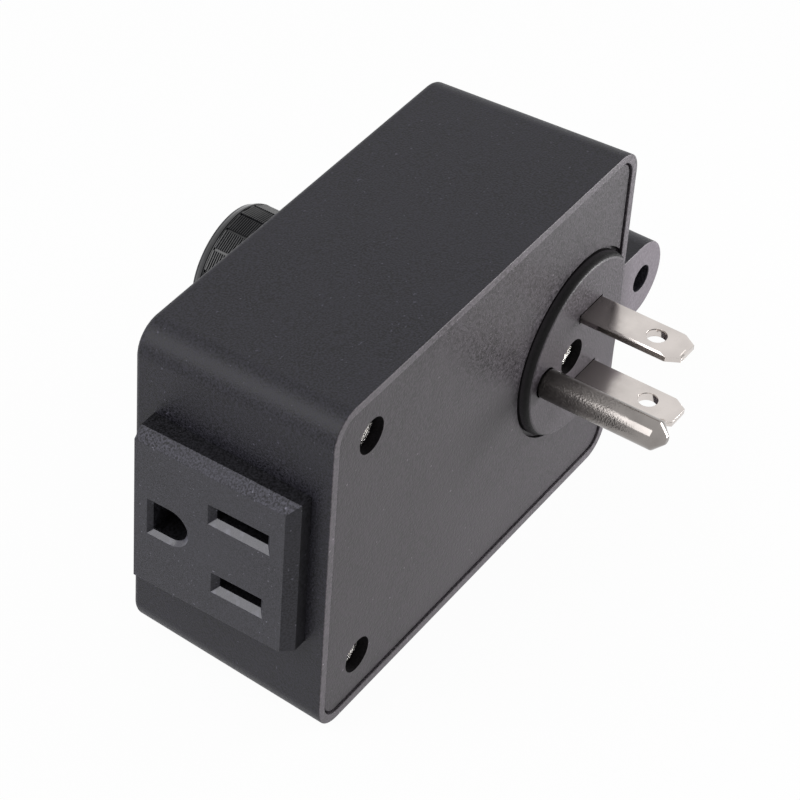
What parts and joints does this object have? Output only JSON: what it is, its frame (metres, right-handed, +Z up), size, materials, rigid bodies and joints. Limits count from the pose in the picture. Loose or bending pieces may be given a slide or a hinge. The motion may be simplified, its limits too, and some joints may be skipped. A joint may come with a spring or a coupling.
{
  "type": "fan speed controller",
  "caption": "Plug-in fan speed controller: black box with a round speed knob in front, blades and ground pin behind, an outlet in one end and a hanging ear on the other.",
  "frame": {"origin": "centre of the overall length (X) and depth (Y), at the height of the rim's edge on the long side wall that the part lies on", "axes": "+Z up as it lies on a long side wall, +Y out of the plug's side, -Y out of the knob's side, +X out of the outlet, -X towards the hanging ear"},
  "size_m": [0.0948, 0.0746, 0.06],
  "materials": {
    "case_plastic": "satin black, fine spark texture",
    "cover_plastic": "satin black, fine spark texture",
    "outlet_plastic": "satin black, smooth",
    "insulator": "satin black",
    "nickel": "bright nickel plate, warm",
    "screw_steel": "bright zinc plate",
    "contact_brass": "bare",
    "can_metal": "plated",
    "phenolic": "brown laminate",
    "tinned_copper": "tin plate",
    "board_laminate": "green solder mask",
    "fuse_glass": "clear",
    "film_yellow": "yellow box",
    "film_red": "red box",
    "sink_aluminium": "extruded",
    "component_black": "moulded",
    "core_ferrite": "yellow painted core",
    "winding_copper": "enamelled copper",
    "resistor_tan": "tan lacquer",
    "diode_glass": "tinted",
    "wire_black": "insulation",
    "wire_white": "insulation",
    "wire_green": "insulation",
    "wire_red": "insulation",
    "knob_black": "gloss black, bright chamfer",
    "cap_metal": "dark spun disc"
  },
  "bodies": {
    "case": {"housing": "case_plastic", "back_cover": "cover_plastic", "blade_clamp": "insulator", "line_blade": "nickel", "neutral_blade": "nickel", "ground_pin": "nickel", "cover_screws": "screw_steel", "plug_screw": "screw_steel", "outlet_face": "outlet_plastic", "outlet_body": "outlet_plastic", "neutral_contact": "contact_brass", "line_contact": "contact_brass", "ground_contact": "contact_brass", "outlet_screws": "screw_steel", "pot_body": "can_metal", "pot_wafer": "phenolic", "pot_terminals": "tinned_copper", "pot_washer": "can_metal", "pot_nut": "can_metal", "circuit_board": "board_laminate", "board_screws": "screw_steel", "fuse": "fuse_glass", "fuse_clips": "tinned_copper", "film_capacitor": "film_yellow", "trigger_capacitor": "film_red", "heat_sink": "sink_aluminium", "triac": "component_black", "triac_screw": "screw_steel", "choke_core": "core_ferrite", "choke_winding": "winding_copper", "resistors": "resistor_tan", "diac": "diode_glass", "line_wire": "wire_black", "neutral_wire": "wire_white", "ground_wire": "wire_green", "load_wire": "wire_red"},
    "knob": {"knob": "knob_black", "knob_cap": "cap_metal", "pot_shaft": "can_metal", "pot_wiper": "contact_brass"}
  },
  "joints": [
    {"name": "knob_turn", "type": "hinge", "parent": "case", "child": "knob", "pos_m": [-0.0055, -0.01915, 0.03], "axis": [0, 1, 0], "range_deg": [-150, 150]}
  ]
}
